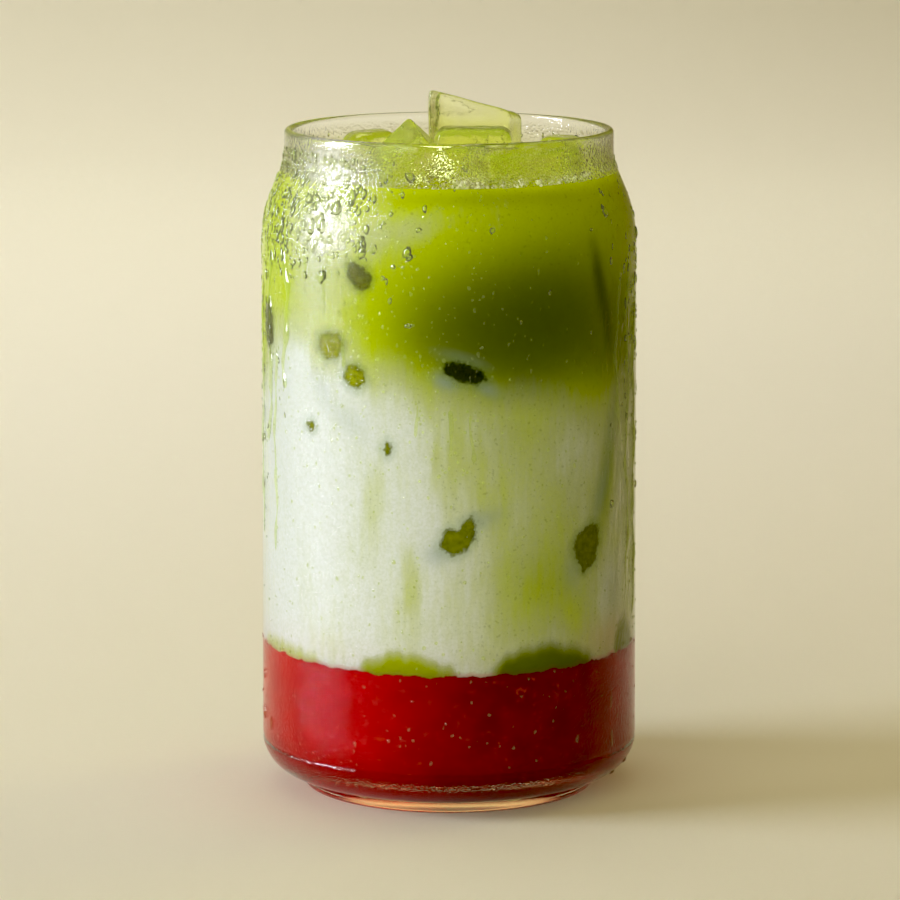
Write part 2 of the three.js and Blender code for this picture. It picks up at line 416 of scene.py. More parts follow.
def with_ice_at_wall(tree, colour, level):
    """The drink's colour with the ice under its surface that touches the wall, and the shade round it.

    The attribute ice_film is the distance in mm outside the ice, and ice_look is how light the ice is.
    """
    fine = remap(tree, noise(tree, 1300, 3), 0.3, 0.7, -0.2, 0.2)
    coarse = remap(tree, noise(tree, 500, 2), 0.3, 0.7, -0.2, 0.2)
    film = maths(tree, "ADD", maths(tree, "ADD", attribute(tree, "ice_film"), fine), coarse)
    halo = remap(tree, film, 2.2, 0.0, 0.0, 0.45)
    shade = blend(tree, remap(tree, level, 0.15, 0.6), MILK_SHADE, MATCHA_SHADE)
    colour = blend(tree, halo, colour, shade)
    mottled = remap(tree, noise(tree, 900, 4), 0.25, 0.75, 0.65, 1.35)
    look = times(tree, attribute(tree, "ice_look"), mottled, clamp=True)
    core = blend(tree, look, ICE_DARK, ICE_OLIVE)
    rim = blend(tree, remap(tree, film, -0.9, 0.0, 0.0, 0.3), core, ICE_RIM)
    return blend(tree, remap(tree, film, 0.5, -0.35), colour, rim)


def drink_material():
    material, tree, shader = new_material("milk_and_matcha")
    level = matcha_level(tree)
    colour = blend(tree, remap(tree, level, 0.0, 0.5), MILK, PALE_GREEN)
    grain = remap(tree, noise(tree, 2000, 3), 0.35, 0.7, 0.0, 0.26)
    colour = blend(tree, grain, colour, MILK_GRAIN)
    colour = blend(tree, remap(tree, level, 0.36, 1.0), colour, MATCHA)
    powder = remap(tree, noise(tree, 1700, 2), 0.62, 0.72, 0.0, 0.3)
    powder = times(tree, powder, remap(tree, level, 0.03, 0.3))
    colour = blend(tree, powder, colour, POWDER)
    # painted shade, and thick matcha
    colour = blend(tree, attribute(tree, "dark_and_shaded"), colour, DARK_MATCHA_AND_SHADE)
    colour = blend(tree, attribute(tree, "cool"), colour, COOL_MILK)
    colour = with_ice_at_wall(tree, colour, level)
    colour = blend(tree, attribute(tree, "pink"), colour, PINK_MILK)
    shader.subsurface_method = "BURLEY"
    set_inputs(shader, cloudy_values(colour, 0.35, (1.0, 0.95, 0.75), 0.006) | {"IOR": WATER_IOR})
    return material


def puree_material():
    material, tree, shader = new_material("strawberry_puree")
    blotches = maths(tree, "SUBTRACT", noise(tree, 160, 4), 0.5)
    # painted light: the puree turns paler on its lit left and along its right edge
    light = maths(tree, "MULTIPLY_ADD", blotches, 0.5, attribute(tree, "painted_light"), clamp=True)
    pulp = remap(tree, noise(tree, 700, 4), 0.56, 0.72, 0.0, 0.16)
    seeds = remap(tree, noise(tree, 520, 1), 0.71, 0.76, 0.0, 0.45)
    colour = blend(tree, light, PUREE, PUREE_PALE_AND_LIT)
    colour = blend(tree, pulp, colour, PUREE_PULP)
    colour = blend(tree, seeds, colour, SEEDS)
    shader.subsurface_method = "BURLEY"
    set_inputs(shader, cloudy_values(colour, 0.3, (1.0, 0.25, 0.25), 0.0015))
    return material


def ice_material():
    material, tree, shader = new_material("wet_ice")
    cloudy = maths(tree, "MULTIPLY_ADD", noise(tree, 140, 3), 0.016, object_axes(tree)["Z"])
    clear = remap(tree, cloudy, 0.1375, 0.150)
    colour = blend(tree, clear, ICE_LOW, ICE_HIGH)
    set_inputs(shader, clear_values(colour, ICE_IOR, 0.08, 0.3) | {
        "Transmission Weight": 0.93,
        "Normal": bump(tree, noise(tree, 220, 4), 0.7, 0.0008),
    })
    return material


def water_material():
    material, _, shader = new_material("water_drops")
    values = clear_values((*WATER, 1), WATER_IOR, 0.03, 0.7)
    set_inputs(shader, values | {"Transmission Weight": 0.95})
    return material


# The pieces
def finished(piece, slot, *nodes):
    """Declares a piece: its body and the nodes that it replaces. The slot is not used."""
    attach(piece, "root")
    if nodes:
        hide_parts(*nodes)
    return piece


def set_attribute(obj, name, values):
    made = obj.data.attributes.new(name, "FLOAT", "POINT")
    made.data.foreach_set("value", np.asarray(values, dtype=np.float32))


def points_of(obj):
    flat = np.empty(len(obj.data.vertices) * 3, np.float32)
    obj.data.vertices.foreach_get("co", flat)
    return flat.reshape(-1, 3).astype(float) / MM


def angle_and_height(points):
    return np.degrees(np.arctan2(points[:, 0], -points[:, 1])), points[:, 2]


def turn_between(a, b):
    """The signed turn from angle b to angle a, in degrees."""
    return (a - b + 180) % 360 - 180


# The cubes, as in the CAD source: centre, size, turns in degrees, rounding of the edges, slopes of the top
ICE = {
    "ice_tall": ((5.3, 13, 125), (17, 12.5, 26.5), (0, 0, -14), 1.2, (-0.24, -0.16)),
    "ice_corner": ((-9.3, -14.9, 126.8), (17, 10.5, 10.5), (37.8, -43.2, -2.1), 0.9, (0, 0)),
    "ice_flat": ((4.9, -1, 125.2), (15.6, 9, 18.6), (0, 0, -3), 2.6, (0, 0)),
    "ice_front": ((14.6, -17.2, 122.7), (21.5, 9.5, 19), (0, 0, 30), 1.6, (0.03, 0)),
    "ice_left": ((-16, 12, 125.2), (11, 11, 14.4), (0, 0, 14), 3.2, (0.05, 0)),
    "ice_right": ((22.8, 6.6, 124.9), (9.5, 10.5, 14), (0, 0, -12), 3.0, (-0.05, 0)),
}


def ice_points(size, edge, slope, steps, grow=0.0):
    """A cube with rounded edges and a sloping top, as points and quads of its own frame."""
    bm = bmesh.new()
    bmesh.ops.create_cube(bm, size=2.0)
    bmesh.ops.subdivide_edges(bm, edges=bm.edges, cuts=steps, use_grid_fill=True)
    half = np.array(size) / 2 + grow
    points, faces = taken_from(bm)
    spread = np.sign(points) * np.abs(points) ** 0.55
    core = half - edge
    place = spread * half
    inner = np.clip(place, -core, core)
    out = place - inner
    length = np.maximum(np.linalg.norm(out, axis=1, keepdims=True), 1e-9)
    place = inner + out / length * edge
    share = place[:, 2] / (2 * half[2]) + 0.5
    place[:, 2] += (slope[0] * place[:, 0] + slope[1] * place[:, 1]) * share
    return place, faces


def ice_matrix(centre, turn):
    return Matrix.Translation(centre) @ Euler([math.radians(a) for a in turn], "XYZ").to_matrix().to_4x4()


def moved(points, matrix):
    m = np.array(matrix)
    return points @ m[:3, :3].T + m[:3, 3]


def ice_piece(name, material, steps=18, grow=0.0):
    """A cube with sides that have melted a little."""
    centre, size, turn, edge, slope = ICE[name]
    points, faces = ice_points(size, edge, slope, steps, grow)
    melted = 0.0032 * np.sin(points @ (0.9, 0.7, 0.35) + 2) + 0.002 * np.sin(points @ (-0.5, 1.1, 0.8))
    points = points * (1 + melted[:, None])
    obj = make_object(name + "_wet", moved(points, ice_matrix(centre, turn)), faces, material)
    close_up(obj)
    return obj


# How the matcha is spread through the milk
def milk_line(angle):
    """The height where milk turns to matcha at the wall."""
    return milk_top(np.full_like(angle, BODY_LOW), angle)


def blob(angle, z, at, size, tilt=0.0):
    """A soft round patch on the wall, 1 at its centre: sizes are along the wall and upwards, in mm."""
    u = along_wall(angle, at[0])
    v = z - at[1]
    c, s = math.cos(math.radians(tilt)), math.sin(math.radians(tilt))
    return np.exp(-(((u * c + v * s) / size[0]) ** 2) - ((v * c - u * s) / size[1]) ** 2)


def along_wall(angle, start):
    """The way along the wall from a start angle, in mm."""
    return np.radians(turn_between(angle, start)) * (BODY_LOW - BODY_WALL)


def patches(table, angle, z):
    """The sum of soft patches, each with an angle, height, width, length, tilt and strength."""
    return sum(
        strength * blob(angle, z, (at, height), (width, length), tilt)
        for at, height, width, length, tilt, strength in table
    )


# Soft patches on the drink, in rows of angle, height, width, length, tilt and strength.
# Wisps of matcha that hang down in the milk:
WISPS = (
    (-24, 66, 2, 9, -6, 0.16),
    (-11.5, 48, 2, 9, 0, 0.42),
    (0, 66, 3.6, 10, 0, 0.22),
    (2, 77, 2.6, 7, 0, 0.22),
    (6, 62, 2, 9, 0, 0.1),
    (14, 60, 3, 14, 4, 0.14),
    (24, 79, 5, 6, 0, 0.3),
    (29, 46, 9, 9, 8, 0.34),
    (36, 60, 4, 10, 0, 0.1),
    (42, 40, 3.2, 6, 24, 0.34),
    (58, 66, 2.4, 10, -12, 0.55),
    (76, 50, 4, 16, 0, 0.2),
    (10, 71, 0.9, 8, 2, 0.25),
    (-4, 74, 0.8, 6, -3, 0.16),
    (17, 66, 0.8, 9, 3, 0.18),
    (-100, 60, 5, 18, 4, 0.25),
    (-135, 70, 6, 14, -6, 0.3),
    (170, 60, 6, 16, 4, 0.3),
    (125, 50, 6, 16, -4, 0.3),
)
# Pale streaks in the matcha and the milk:
STREAKS = (
    (-12, 117.8, 12, 3.4, 10, 0.38),
    (-45, 107, 11, 20, 0, 0.6),
    (-25, 113, 8, 7, 10, 0.14),
    (60, 44, 6, 7, 0, 0.2),
    (150, 112, 14, 3, -8, 0.35),
    (-110, 104, 10, 16, 0, 0.3),
)
# Where the matcha is thick and dark, and painted shade: the dim side under the ice, towards the right, and a
# dark line just under the drink's surface:
DARKS_AND_SHADOWS = (
    (24, 98.5, 18, 12, 8, 2.8),
    (62, 93, 11, 12, 0, 0.8),
    (12, 123.4, 24, 1.5, 0, 0.3),
    (-1, 99, 11, 9, 0, 0.6),
    (53.5, 106, 1.4, 6.5, 13, 1.5),
    (58, 98, 1.2, 5, 8, 1.2),
    (150, 98, 26, 12, 0, 1.1),
)
# Dim places in the milk:
SHADES = (
    (30, 47, 8.5, 8, 0, 0.2),
    (58, 67, 2.4, 11, -12, 0.42),
    (62, 42, 3, 7, 0, 0.22),
    (19, 78, 7, 6, 0, 0.1),
    (-150, 60, 9, 10, 0, 0.15),
    (130, 66, 8, 12, 0, 0.15),
)
# Pools of matcha on the puree: angle, height above it, half width, half height, strength, darkness
POOLS = (
    (-13, 0.6, 10.5, 3.6, 1, 0.5),
    (32, 0.6, 12.5, 4.8, 1, 0.9),
    (70, 2.4, 5, 4.6, 0.9, 0.7),
    (-62, 0.2, 12, 2.6, 0.6, 0),
    (138, 0.6, 12, 4.6, 1, 0.7),
    (-142, 0.5, 10, 3.8, 0.9, 0.5),
)


def pool_shares(points):
    """How much of a point is in a pool of matcha, and how dark it is there."""
    angle, z = angle_and_height(points)
    over = z - puree_top(np.full_like(angle, BODY_LOW), angle)
    a = np.radians(angle)
    ragged = 0.5 * np.sin(37 * a) + 0.35 * np.sin(61 * a + 1) + 0.25 * np.sin(97 * a + 2)
    share, dark = np.zeros(len(points)), np.zeros(len(points))
    for at, rise, width, height, strength, darkness in POOLS:
        u = along_wall(angle, at) / width
        top = rise + height * np.clip(1 - u * u, 0, 1) ** 0.8 * (1 - 0.2 * u)
        part = smoothstep(1.9, -2.6, over - top - 0.35 * ragged) * smoothstep(1.1, 0.75, np.abs(u))
        share = np.maximum(share, strength * part)
        dark = np.maximum(dark, darkness * part)
    return share, dark


def matcha_share(points):
    """How much of the drink at a point is matcha and not milk, from 0 to 1."""
    angle, z = angle_and_height(points)
    a = np.radians(angle)
    rough = 2.2 * np.sin(5 * a + 0.4) + 1.2 * np.sin(11 * a + 1.3) + 0.8 * np.sin(19 * a + 0.2)
    lifted = milk_line(angle) + 4.5 * smoothstep(5, 25, angle) * smoothstep(120, 90, angle)
    lifted = lifted + 3.0 * hump(angle, -20, 12)
    above = smoothstep(-10, 9, z - lifted - rough)
    right = smoothstep(-12, 30, angle) * smoothstep(175, 120, angle)
    left = smoothstep(-60, -120, angle)
    below = 0.015 + 0.09 * hump(angle, -12, 16) + 0.33 * right + 0.12 * left
    share = above + below * (1 - above) + patches(WISPS, angle, z) - patches(STREAKS, angle, z)
    return np.maximum(np.clip(share, 0, 1), pool_shares(points)[0])


def dark_and_shaded_share(points):
    """Where the drink is dark: thick matcha, and painted shade where no light comes through it from behind.
    """
    angle, z = angle_and_height(points)
    dark = (1 - np.exp(-patches(DARKS_AND_SHADOWS, angle, z))) * smoothstep(-7, 9, z - milk_line(angle))
    dark = np.clip(np.maximum(dark, patches(SHADES, angle, z)), 0, 1)
    return np.maximum(dark, pool_shares(points)[1])


# Ice that touches the wall under the surface: angle, height, how light it is from 0 to 1, and its outline,
# as offsets along the wall and upwards
WALL_ICE = (
    (-28.7, 108.5, 0.42,
     ((-2.5, 2.2), (-0.7, 2.1), (1.4, 1.4), (2.5, 0), (2.1, -1.8), (0.9, -2.8), (-0.9, -2), (-2.1, -0.2))),
    (-39.2, 94.3, 1,
     ((-2.7, 1.2), (-0.8, 2.5), (1.9, 2.1), (2.9, 0.2), (1.6, -2.1), (-1, -2.5), (-2.7, -0.9))),
    (-30.5, 88.5, 0.8,
     ((-2.2, 0.6), (-1.2, 2), (0.6, 2.1), (2, 0.8), (2.4, -1), (1, -2.2), (-0.8, -1.9), (-2, -0.6))),
    (-47.4, 77.6, 0.75, ((-0.8, 0.6), (0.4, 0.9), (0.8, -0.3), (0, -0.9), (-0.7, -0.4))),
    (-19.1, 74.8, 0.6, ((0, 1.3), (0.6, 0.2), (0.5, -0.8), (-0.2, -1.2), (-0.6, -0.5), (-0.4, 0.4))),
    (4.7, 90.1, 0.04,
     ((-4, 1.6), (-2, 2.2), (0.8, 1.4), (3.4, 0), (4.2, -1.6), (2.2, -2.1), (-0.8, -1.7), (-3.4, -0.2))),
    (2.4, 57.3, 0.5,
     ((-3.1, -1.4), (-2.4, 1), (-1.4, 1.7), (0.2, 1.5), (2.7, 4.1),
      (3.7, 2.7), (3, -0.6), (1.2, -2.7), (-0.8, -3.4), (-2.9, -2))),
    (47.2, 52.9, 0.45,
     ((-3.4, 1), (-2.1, 3.3), (1.5, 5), (3.4, 4), (3.6, 1), (2.4, -3.1), (-0.6, -4.3), (-2.1, -2))),
    (-74, 95.7, 0.2, ((-2.6, 3.5), (0, 4.7), (2, 2), (2.2, -3), (0, -4.5), (-2.6, -3))),
    (118, 70, 0.4, ((-3.1, -1.4), (-2.4, 2), (-0.4, 3), (2.7, 1.1), (3, -2.6), (0.2, -3.7))),
    (165, 96, 0.2, ((-3.4, 0.6), (-1.2, 3), (2.6, 2.1), (3.4, -1.8), (-0.8, -3.1))),
    (-150, 84, 0.3, ((-4, 1.6), (-1, 2.6), (2.8, 1.4), (3.4, -1.6), (-0.2, -2.4), (-3.2, -1.6))),
    (-118, 55, 0.5, ((-2.4, -1.6), (-2.6, 1.4), (0.4, 2.8), (2.8, 0.8), (1.4, -2.6))),
)
# Cool shade on the milk round the ice, in rows like those of WISPS:
COOLS = (
    (-1, 88.3, 2.6, 1.6, -20, 0.75),
    (11.5, 86.8, 3, 1.5, -30, 0.65),
    (4.7, 92.5, 5, 1.4, -18, 0.35),
    (10, 60.8, 4.6, 2, 18, 0.42),
    (-3, 54.3, 3, 2.4, 20, 0.5),
    (41, 49, 2.4, 4, 0, 0.35),
    (55, 64, 2.2, 8, -22, 0.55),
    (60, 76, 2, 6, -10, 0.35),
    (-43, 86, 3, 4, 30, 0.2),
    (-33, 80, 5, 3, -30, 0.2),
)


def ice_under_surface(points):
    """The distance outside the nearest ice at the wall, less than 0 inside it, and how light that ice is."""
    angle, z = angle_and_height(points)
    farthest, reach = 6.0, 12
    film = np.full(len(points), farthest)
    look = np.zeros(len(points))
    for at, height, light, outline in WALL_ICE:
        u = along_wall(angle, at)
        v = z - height
        near = (np.abs(u) < reach) & (np.abs(v) < reach)
        away = outline_distance(u[near], v[near], np.array(outline, float))
        closer = away < film[near]
        spots = np.flatnonzero(near)[closer]
        film[spots] = away[closer]
        look[spots] = light
    return film, look


def outline_distance(u, v, outline, grown=0.1):
    """The distance to an outline that is grown a little, less than 0 inside it."""
    inside = np.zeros(len(u), bool)
    nearest = np.full(len(u), np.inf)
    for (ax, ay), (bx, by) in zip(outline, np.roll(outline, -1, axis=0)):
        wide, high = bx - ax, by - ay
        share = np.clip(((u - ax) * wide + (v - ay) * high) / (wide**2 + high**2), 0, 1)
        nearest = np.minimum(nearest, np.hypot(u - ax - share * wide, v - ay - share * high))
        crosses = (ay > v) != (by > v)
        crossing = ax + (v - ay) / np.where(crosses, high, 1.0) * wide
        inside ^= crosses & (u < crossing)
    return np.where(inside, -nearest, nearest) - grown


def drink_piece(material, ice_cuts):
    obj = layer("milk_and_matcha", puree_top, drink_top, material, rows=190)
    cut_out(obj, ice_cuts)
    points = points_of(obj)
    set_attribute(obj, "matcha", matcha_share(points))
    set_attribute(obj, "dark_and_shaded", dark_and_shaded_share(points))
    film, look = ice_under_surface(points)
    set_attribute(obj, "ice_film", film)
    set_attribute(obj, "ice_look", look)
    angle, z = angle_and_height(points)
    set_attribute(obj, "cool", np.clip(patches(COOLS, angle, z), 0, 1))
    over = z - puree_top(np.hypot(points[:, 0], points[:, 1]), angle)
    stained = 0.6 * np.clip(1 - over / 0.9, 0, 1)
    stained += 0.35 * blob(angle, z, (60, 37), (8, 7)) * smoothstep(12, 0, over)
    set_attribute(obj, "pink", np.clip(stained, 0, 1) * (1 - 0.8 * pool_shares(points)[0]))
    return obj


def puree_piece():
    def floor(radius, angle):
        return INNER_BOTTOM - INTO_WALL + 0 * radius

    obj = layer("puree_bed", floor, puree_top, puree_material(), rows=40)
    angle, z = angle_and_height(points_of(obj))
    # Painted light: the puree is paler on the lit left and along the right edge, where light would shine
    # through it
    painted_light = 0.08 + 0.85 * smoothstep(18, -42, angle) * smoothstep(-175, -120, angle)
    set_attribute(obj, "painted_light", painted_light + 0.55 * smoothstep(46, 78, angle) * smoothstep(150, 110, angle))
    return obj


def cut_out(obj, cutters):
    """Takes the cutters out of a body and deletes them."""
    for cutter in cutters:
        step = obj.modifiers.new("cut", "BOOLEAN")
        step.operation = "DIFFERENCE"
        step.solver = "MANIFOLD"
        step.object = cutter
    bpy.context.view_layer.update()
    shape = bpy.data.meshes.new_from_object(obj.evaluated_get(bpy.context.evaluated_depsgraph_get()))
    obj.modifiers.clear()
    old, obj.data = obj.data, shape
    bpy.data.meshes.remove(old)
    for cutter in cutters:
        bpy.data.objects.remove(cutter)


# Foam at the wall: from angle, to angle, how far in from the wall, and how many bubbles
FOAM_BANDS = (
    (-14, 60, 0.9, 760),
    (2, 12, 2.6, 80),
    (-60, -14, 0.6, 110),
    (60, 300, 0.9, 420),
    (-180, 180, 26, 420),
)
# Foam round the cubes: which cube, and how many bubbles
FOAM_ROUND_ICE = (
    ("ice_front", 230),
    ("ice_flat", 60),
    ("ice_left", 60),
    ("ice_tall", 60),
    ("ice_right", 50),
)


# Water on the glass
def upper_left(angle, z):
    """Where the drops are largest, round the left of the shoulder, from 0 to 1."""
    return hump(turn_between(angle, -56), 0, 29) * smoothstep(104, 118, z)


def dew_share(points):
    """How thick the fine dew is on the glass, from 0 to 1."""
    angle, z = angle_and_height(points)
    return (0.50 + 0.45 * upper_left(angle, z)) * smoothstep(2.5, 9, z) * smoothstep(134.2, 131, z)


def wet_share(points):
    """How much the larger beads stand out."""
    angle, z = angle_and_height(points)
    edge = hump(np.abs(angle), 82, 18) * smoothstep(45, 70, z)
    return np.clip(0.04 + 0.12 * upper_left(angle, z) + 0.2 * edge, 0, 1) * smoothstep(133, 130, z)


def ridge_share(points):
    """How much the water stands in upright ridges, from 0 to 1."""
    angle, z = angle_and_height(points)
    sides = hump(turn_between(angle, 68), 0, 17) + 0.6 * hump(turn_between(angle, -78), 0, 13)
    return sides * smoothstep(28, 60, z) * smoothstep(116, 100, z)


def mist_and_highlight_share(points):
    """How thick the white mist on the glass is, from 0 to 1. It is a painted highlight, where the key light
    is mirrored on the shoulder and the neck.
    """
    angle, z = angle_and_height(points)
    shoulder = 0.66 * blob(angle, z, (-41, 117.0), (7.5, 5.0))
    neck = 0.52 * blob(angle, z, (-46, 128.5), (9.0, 4.5))
    return shoulder + neck + 0.05 * upper_left(angle, z)


def film_share(points):
    """How much matcha clings to the inside of the glass over the drink line, from 0 to 1."""
    angle, z = angle_and_height(points)
    clear = smoothstep(5, -30, angle) * smoothstep(-120, -80, angle)
    inside = np.hypot(points[:, 0], points[:, 1]) < inner_radius(z) + 0.2
    return (1 - clear) * smoothstep(133.5, 129, z) * smoothstep(119, 123, z) * inside


def drop_mesh(rings, sides):
    """A low cap and its flat underside, of radius 1 and height 1, as points and triangles."""
    points = [(0, 0, 1)]
    for ring in range(1, rings + 1):
        out = ring / rings
        for i in range(sides):
            turn = 2 * math.pi * (i + 0.5 * (ring % 2)) / sides
            points.append((out * math.cos(turn), out * math.sin(turn), 1 - out**DROP_BULGE))
    points.append((0, 0, -DROP_UNDER))
    faces = [(0, 1 + i, 1 + (i + 1) % sides) for i in range(sides)]
    for ring in range(rings - 1):
        inner = 1 + ring * sides
        outer = inner + sides
        for i in range(sides):
            a, b = inner + i, inner + (i + 1) % sides
            c, d = outer + (i + ring % 2) % sides, outer + (i + 1 + ring % 2) % sides
            faces += [(a, c, b), (b, c, d)]
    last = 1 + (rings - 1) * sides
    faces += [(last + i, len(points) - 1, last + (i + 1) % sides) for i in range(sides)]
    return np.array(points, float), np.array(faces)


def wall_frame(angle, z, reach=0.4, steepest=1.5):
    """The place, outward normal, sideways and upward directions on the outside of the glass."""
    a = np.radians(angle)
    under_foot = 3
    section = outer_section()[under_foot:]

    def radius(height):
        return np.interp(height, section[:, 1], section[:, 0])

    slope = ((radius(z + reach) - radius(z - reach)) / (2 * reach)).clip(-steepest, steepest)
    out = np.stack([np.sin(a), -np.cos(a), 0 * a], axis=-1)
    side = np.stack([np.cos(a), np.sin(a), 0 * a], axis=-1)
    up = out * slope[:, None] + np.array([0, 0, 1])
    up /= np.linalg.norm(up, axis=1, keepdims=True)
    place = out * radius(z)[:, None]
    place[:, 2] = z
    return place, np.cross(side, up), side, up


def drops_piece(name, angle, z, width, length, height, material, sides=8, rings=3, sharp=60):
    """Many drops on the glass as one mesh, with uneven outlines. Widths and lengths are halves, in mm."""
    unit, faces = drop_mesh(rings, sides)
    place, out, side, up = wall_frame(angle, z)
    turn = np.arctan2(unit[:, 1], unit[:, 0])[None]
    phase = rng.uniform(0, 2 * np.pi, (3, len(angle), 1))
    uneven = 1 + 0.16 * np.sin(2 * turn + phase[0]) + 0.10 * np.sin(3 * turn + phase[1])
    uneven += 0.06 * np.sin(5 * turn + phase[2])
    across = (unit[None, :, 0] * uneven * width[:, None])[:, :, None]
    along = (unit[None, :, 1] * uneven * length[:, None])[:, :, None]
    lift = (unit[None, :, 2] * height[:, None] - SUNK)[:, :, None]
    points = place[:, None] + across * side[:, None] + along * up[:, None] + lift * out[:, None]
    obj = make_object(name, within_body(points), faces_of_copies(faces, len(unit), len(angle)), material)
    obj.data.set_sharp_from_angle(angle=math.radians(sharp))
    return obj


def within_body(points):
    """Points kept inside the box of the body, so that the drops don't make the glass wider."""
    flat = points.reshape(-1, 3).copy()
    flat[:, :2] = np.clip(flat[:, :2], -BODY_LOW, BODY_LOW)
    return flat


def runs_piece(name, runs, material, across=7, step=0.6):
    """Runs of water down the glass as one mesh, each a low ridge that sways and swells.

    A run has an angle, the heights of its ends, half its width in mm and its sway in degrees.
    """
    offsets = np.linspace(-1, 1, across)
    all_points, all_faces, start = [], [], 0
    for angle, high, low, half, sway in runs:
        z = np.arange(high, low, -step)
        along = np.linspace(0, 1, len(z))
        phase = rng.uniform(0, 2 * np.pi, 4)
        path = angle + sway * (np.sin(z / 4.3 + phase[0]) + 0.45 * np.sin(z / 1.6 + phase[1]))
        swell = 0.8 + 0.3 * np.sin(z / 1.9 + phase[2]) + 0.15 * np.sin(z / 0.8 + phase[3])
        ends = np.sqrt(np.clip(np.minimum(along * 10, (1 - along) * 14), 0, 1))
        width = half * swell * ends
        place, out, side, up = wall_frame(path, z)
        lift = (1 - offsets**2)[None, :, None] * 0.3 * width[:, None, None]
        aside = side[:, None] * offsets[None, :, None] * width[:, None, None]
        ridge = place[:, None] + aside + out[:, None] * lift
        under = (place - out * DROP_UNDER * width[:, None])[:, None]
        points = np.concatenate([ridge, under], axis=1) - out[:, None] * SUNK
        all_faces.append(quads_round(len(z), across + 1) + start)
        all_points.append(points.reshape(-1, 3))
        start += len(all_points[-1])
    obj = make_object(name, within_body(np.vstack(all_points)), np.vstack(all_faces), material)
    close_up(obj, 60)
    return obj


def scatter(count, density, low, high, spacing, tries_each=40):
    """Places on the wall by a density from 0 to 1, kept apart by a spacing in mm."""
    kept, cells = [], {}
    for _ in range(count * tries_each):
        angle, z, chance = rng.uniform(-180, 180), rng.uniform(low, high), rng.random()
        if chance > density(angle, z):
            continue
        u = math.radians(angle) * BODY_LOW
        row, column = int(u // spacing), int(z // spacing)
        near = [p for i in (-1, 0, 1) for j in (-1, 0, 1) for p in cells.get((row + i, column + j), ())]
        if any((p[0] - u) ** 2 + (p[1] - z) ** 2 < spacing**2 for p in near):
            continue
        cells.setdefault((row, column), []).append((u, z))
        kept.append((angle, z))
        if len(kept) == count:
            break
    return np.array(kept).T


def large_density(angle, z):
    sides = 0.10 * smoothstep(50, 75, abs(angle)) * smoothstep(55, 100, z)
    return min(1.0, upper_left(angle, z) + sides + 0.002)


def fine_density(angle, z):
    low = 0.06 + 0.20 * smoothstep(60, 100, z) * smoothstep(40, 0, angle)
    front = 0.30 * hump(angle, -3, 9) * smoothstep(62, 72, z) * smoothstep(97, 90, z)
    return min(1.0, low + front + 0.9 * upper_left(angle, z))


# Runs of water: angle, height of the upper end and of the lower end, half width in mm, sway in degrees
RUNS = (
    (-59, 113, 84, 1.1, 1.1),
    (-71, 112, 72, 1.2, 1.3),
    (-80, 106, 52, 1.1, 1),
    (-66, 92, 50, 0.7, 0.8),
    (-48, 112, 103, 0.5, 0.8),
    (-40, 110, 100, 0.45, 0.8),
    (-34, 98, 90, 0.45, 1),
    (-10, 84, 77, 0.4, 0.5),
    (1, 83, 74, 0.5, 0.6),
    (7, 82, 72, 0.45, 0.6),
    (62, 108, 74, 0.8, 1.2),
    (70, 110, 46, 0.9, 1.3),
    (78, 104, 36, 1, 1.2),
    (100, 110, 64, 0.8, 1.2),
    (117, 104, 80, 0.7, 1.2),
    (140, 115, 96, 0.6, 1.2),
    (165, 110, 70, 0.7, 1.2),
    (-170, 106, 88, 0.6, 1),
    (-140, 112, 60, 0.8, 1.2),
    (-120, 108, 74, 0.7, 1.2),
    (-98, 110, 48, 0.9, 1.2),
)
# Single drops low on the glass: angle, height, half width, half length
LOW_DROPS = (
    (-78.9, 15.7, 0.75, 1.5),
    (-70.6, 14.6, 0.7, 1.3),
    (-34.5, 2.3, 1.5, 0.6),
    (25.7, 2.3, 1.5, 0.6),
    (56, 2.5, 1.7, 0.8),
    (70, 4.2, 0.9, 0.7),
    (75, 6, 1, 0.6),
    (58.5, 21, 0.35, 2.4),
    (59, 13, 0.45, 2.2),
    (42, 15, 0.5, 0.7),
    (12, 22, 0.35, 0.45),
    (-12, 19, 0.3, 0.4),
    (150, 2.4, 1.4, 0.6),
    (-120, 2.4, 1.6, 0.6),
    (120, 17, 0.6, 1.4),
    (-150, 13, 0.6, 1.1),
)


def water_pieces(material):
    angle, z = scatter(950, large_density, 60, 131, 0.8)
    size = rng.lognormal(math.log(0.46), 0.4, len(angle)).clip(0.22, 1.1)
    long = size * rng.uniform(0.8, 1.7, len(angle))
    large = drops_piece("dew_drops", angle, z, size, long, size * 0.34, material, 14, 7, sharp=180)
    angle, z = scatter(2400, fine_density, 10, 131, 0.65)
    size = rng.lognormal(math.log(0.22), 0.3, len(angle)).clip(0.14, 0.42)
    long = size * rng.uniform(1.0, 1.4, len(angle))
    beads = drops_piece("dew_beads", angle, z, size, long, size * 0.45, material, 8, 3)
    runs = runs_piece("dew_runs", RUNS, material)
    angle, z, size, long = np.array(LOW_DROPS).T
    low = drops_piece("low_drops", angle, z, size, long, np.minimum(size, long) * 0.5, material, 24, 8)
    return large, beads, runs, low


def foam_at_wall():
    """The places of bubbles where the drink meets the glass."""
    angle, inset = [], []
    for low, high, depth, count in FOAM_BANDS:
        angle.append(rng.uniform(low, high, count))
        inset.append(0.25 + depth * rng.random(count) ** 2)
    angle, inset = np.concatenate(angle), np.concatenate(inset)
    radius = inner_radius(np.full_like(angle, DRINK_LEVEL)) - inset
    a = np.radians(angle)
    return np.stack([radius * np.sin(a), -radius * np.cos(a), drink_top(radius, angle)], axis=-1)


